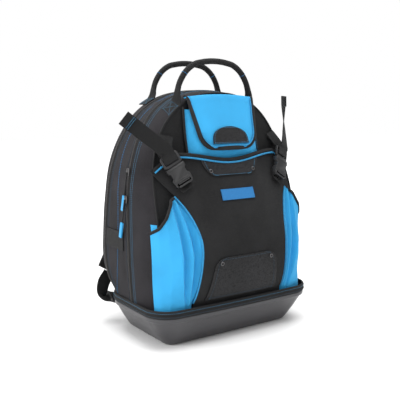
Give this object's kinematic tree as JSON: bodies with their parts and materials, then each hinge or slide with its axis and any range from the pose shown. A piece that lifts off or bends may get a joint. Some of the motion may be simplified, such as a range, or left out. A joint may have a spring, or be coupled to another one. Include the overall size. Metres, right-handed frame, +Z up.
{
  "type": "tool backpack",
  "caption": "Upright cloth tool backpack on a hard moulded tray, with blue pockets, a flap, two carrying handles, side-release buckles and padded shoulder straps.",
  "frame": {"origin": "centre of the flat foot's underside", "axes": "+Z up, -Y towards the front with the label, +X towards the viewer's right when facing the front"},
  "size_m": [0.388, 0.2654, 0.4916],
  "materials": {
    "cloth": "coarse black polyester weave, slightly violet where lit",
    "blue": "bright blue polyester weave and piping",
    "webbing": "black ribbed webbing and binding tape",
    "tray": "dark grey moulded plastic, half gloss",
    "plastic": "black satin buckle plastic",
    "patch": "black pebbled reinforcement cloth",
    "zip": "black zip tape with coil teeth",
    "metal": "dark steel eyelets, sliders and pulls"
  },
  "bodies": {
    "root": {"base_tray": "tray", "rim_binding": "webbing", "back_cover": "cloth", "zip_back": "zip", "middle_gusset": "cloth", "zip_front": "zip", "front_shell": "cloth", "back_pad": "cloth", "handle_front": "webbing", "handle_back": "webbing", "top_pocket": "blue", "flap": "blue", "flap_binding": "webbing", "flap_patch": "patch", "front_panel": "cloth", "panel_binding": "webbing", "panel_piping_top": "blue", "upper_patch": "patch", "lower_patch": "patch", "label": "blue", "eyelet_1": "metal", "eyelet_2": "metal", "eyelet_3": "metal", "eyelet_4": "metal", "zip_slider_upper": "metal", "pull_link_upper": "metal", "pull_tab_upper": "blue", "zip_slider_lower": "metal", "pull_link_lower": "metal", "pull_tab_lower": "blue", "gusset_band_left": "webbing", "panel_piping_left": "blue", "side_pocket_left": "blue", "pocket_binding_left": "webbing", "inner_pocket_left": "blue", "buckle_plug_left": "plastic", "buckle_socket_left": "plastic", "strap_anchor_left": "webbing", "strap_tail_left": "webbing", "clip_web_left": "webbing", "shoulder_strap_left": "cloth", "lower_web_left": "webbing", "strap_adjuster_left": "plastic", "lower_tab_left": "webbing", "gusset_band_right": "webbing", "panel_piping_right": "blue", "side_pocket_right": "blue", "pocket_binding_right": "webbing", "inner_pocket_right": "blue", "buckle_plug_right": "plastic", "buckle_socket_right": "plastic", "strap_anchor_right": "webbing", "strap_tail_right": "webbing", "clip_web_right": "webbing", "shoulder_strap_right": "cloth", "lower_web_right": "webbing", "strap_adjuster_right": "plastic", "lower_tab_right": "webbing"}
  },
  "joints": []
}
